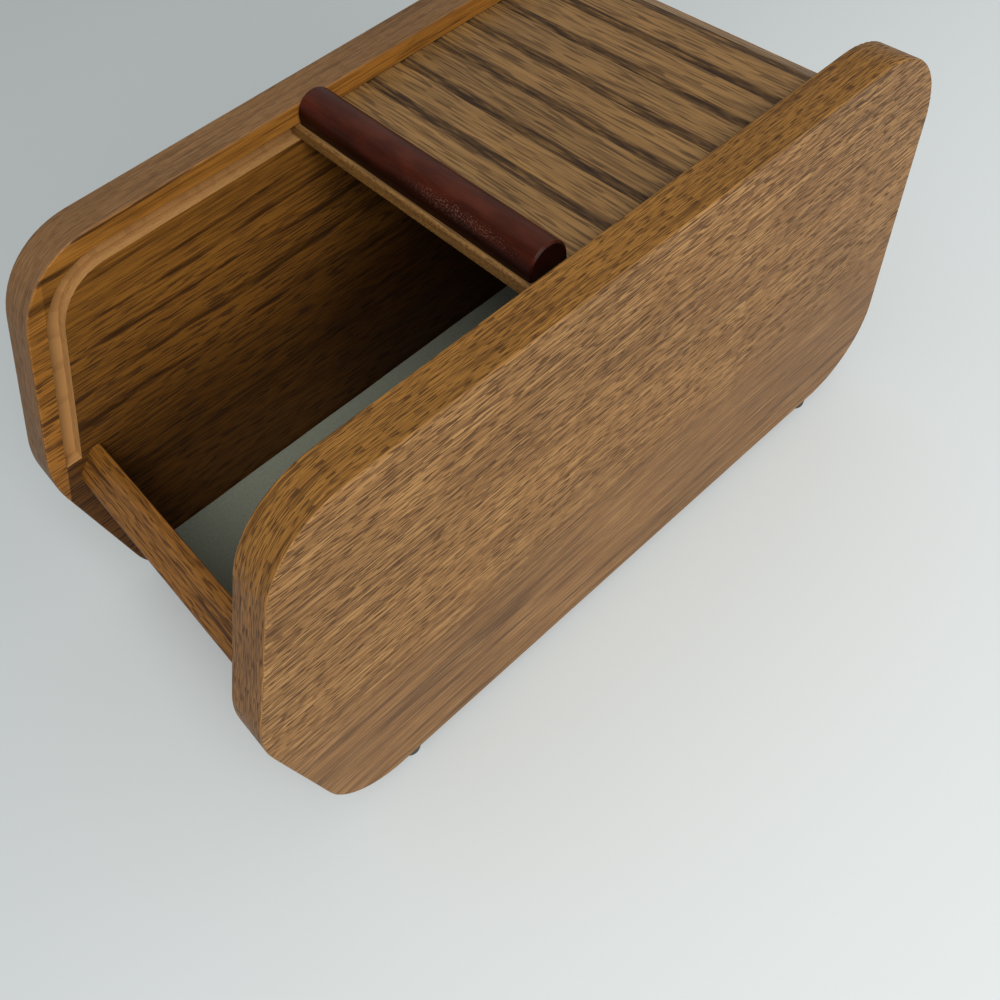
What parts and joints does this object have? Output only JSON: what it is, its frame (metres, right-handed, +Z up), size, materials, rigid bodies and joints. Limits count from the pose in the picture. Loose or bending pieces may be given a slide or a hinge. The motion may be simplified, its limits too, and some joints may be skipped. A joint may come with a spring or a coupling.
{
  "type": "tambour lid box",
  "caption": "Oak box for papers and keepsakes with rounded side boards, a low front, a felted floor and a sliding tambour lid with a dark half-round handle bar.",
  "frame": {"origin": "under the middle of the box, on the surface that its feet stand on", "axes": "+Z up, -Y towards the open front, +Y towards the back, +X to the right seen from the front"},
  "size_m": [0.143, 0.288, 0.1617],
  "materials": {
    "oak_side": "oiled fumed oak, long grain along the box, eased arrises golden brown",
    "oak_front": "oiled fumed oak, satin",
    "oak_slat": "oiled oak, satin, grain along each slat",
    "plywood": "thin oak-faced board, matt",
    "handle_lacquer": "dark red-brown lacquer, semi-gloss, lightly worn",
    "felt": "grey-green felt",
    "canvas": "plain cotton canvas glued to the slats",
    "rubber": "dark rubber, matt",
    "steel": "plated steel",
    "dowel_beech": "beech dowel"
  },
  "bodies": {
    "case": {"side_board_left": "oak_side", "side_board_right": "oak_side", "front_panel": "oak_front", "front_dowels": "dowel_beech", "floor_board": "plywood", "floor_felt": "felt", "inner_back_board": "plywood", "back_panel": "oak_front", "bottom_board": "plywood", "corner_rail": "oak_front", "foot_front_left": "rubber", "foot_front_right": "rubber", "foot_back_left": "rubber", "foot_back_right": "rubber", "foot_pins": "steel"},
    "lid": {"lead_slat": "oak_slat", "slat_01": "oak_slat", "slat_02": "oak_slat", "slat_03": "oak_slat", "slat_04": "oak_slat", "slat_05": "oak_slat", "slat_06": "oak_slat", "handle_bar": "handle_lacquer", "handle_screws": "steel", "backing_cloth": "canvas"},
    "tail_1": {"slat_07": "oak_slat"},
    "tail_2": {"slat_08": "oak_slat"},
    "tail_3": {"slat_09": "oak_slat", "slat_10": "oak_slat", "slat_11": "oak_slat"},
    "tail_4": {"slat_12": "oak_slat"},
    "tail_5": {"slat_13": "oak_slat"},
    "tail_6": {"slat_14": "oak_slat"},
    "tail_7": {"slat_15": "oak_slat"},
    "tail_8": {"slat_16": "oak_slat"},
    "tail_9": {"slat_17": "oak_slat"}
  },
  "joints": [
    {"name": "lid_slide", "type": "slide", "parent": "case", "child": "lid", "axis": [0, -1, 0], "range_m": [0, 0.073], "deforming": ["backing_cloth"]},
    {"name": "tail_1_hinge", "type": "hinge", "parent": "lid", "child": "tail_1", "pos_m": [0, 0.0995, 0.1479], "axis": [-1, 0, 0], "range_deg": [-30, 0], "deforming": ["backing_cloth"]},
    {"name": "tail_2_hinge", "type": "hinge", "parent": "tail_1", "child": "tail_2", "pos_m": [0, 0.11214, 0.1406], "axis": [-1, 0, 0], "range_deg": [-30, 0], "deforming": ["backing_cloth"]},
    {"name": "tail_3_hinge", "type": "hinge", "parent": "tail_2", "child": "tail_3", "pos_m": [0, 0.11944, 0.12796], "axis": [-1, 0, 0], "range_deg": [-30, 0], "deforming": ["backing_cloth"]},
    {"name": "tail_4_hinge", "type": "hinge", "parent": "tail_3", "child": "tail_4", "pos_m": [0, 0.11944, 0.08416], "axis": [-1, 0, 0], "range_deg": [0, 30], "deforming": ["backing_cloth"]},
    {"name": "tail_5_hinge", "type": "hinge", "parent": "tail_4", "child": "tail_5", "pos_m": [0, 0.11944, 0.06956], "axis": [-1, 0, 0], "range_deg": [0, 30], "deforming": ["backing_cloth"]},
    {"name": "tail_6_hinge", "type": "hinge", "parent": "tail_5", "child": "tail_6", "pos_m": [0, 0.11944, 0.05496], "axis": [-1, 0, 0], "range_deg": [0, 30], "deforming": ["backing_cloth"]},
    {"name": "tail_7_hinge", "type": "hinge", "parent": "tail_6", "child": "tail_7", "pos_m": [0, 0.11944, 0.04036], "axis": [-1, 0, 0], "range_deg": [-30, 0], "deforming": ["backing_cloth"]},
    {"name": "tail_8_hinge", "type": "hinge", "parent": "tail_7", "child": "tail_8", "pos_m": [0, 0.11214, 0.02771], "axis": [-1, 0, 0], "range_deg": [-30, 0], "deforming": ["backing_cloth"]},
    {"name": "tail_9_hinge", "type": "hinge", "parent": "tail_8", "child": "tail_9", "pos_m": [0, 0.0995, 0.02041], "axis": [-1, 0, 0], "range_deg": [-30, 0], "deforming": ["backing_cloth"]}
  ],
  "couplings": [
    {"joint": "tail_1_hinge", "follows": "lid_slide", "rad_per_m": -7.1726},
    {"joint": "tail_2_hinge", "follows": "lid_slide", "rad_per_m": -7.1726},
    {"joint": "tail_3_hinge", "follows": "lid_slide", "rad_per_m": -7.1726},
    {"joint": "tail_4_hinge", "follows": "lid_slide", "rad_per_m": 7.1726},
    {"joint": "tail_5_hinge", "follows": "lid_slide", "rad_per_m": 7.1726},
    {"joint": "tail_6_hinge", "follows": "lid_slide", "rad_per_m": 7.1726},
    {"joint": "tail_7_hinge", "follows": "lid_slide", "rad_per_m": -7.1726},
    {"joint": "tail_8_hinge", "follows": "lid_slide", "rad_per_m": -7.1726},
    {"joint": "tail_9_hinge", "follows": "lid_slide", "rad_per_m": -7.1726}
  ]
}
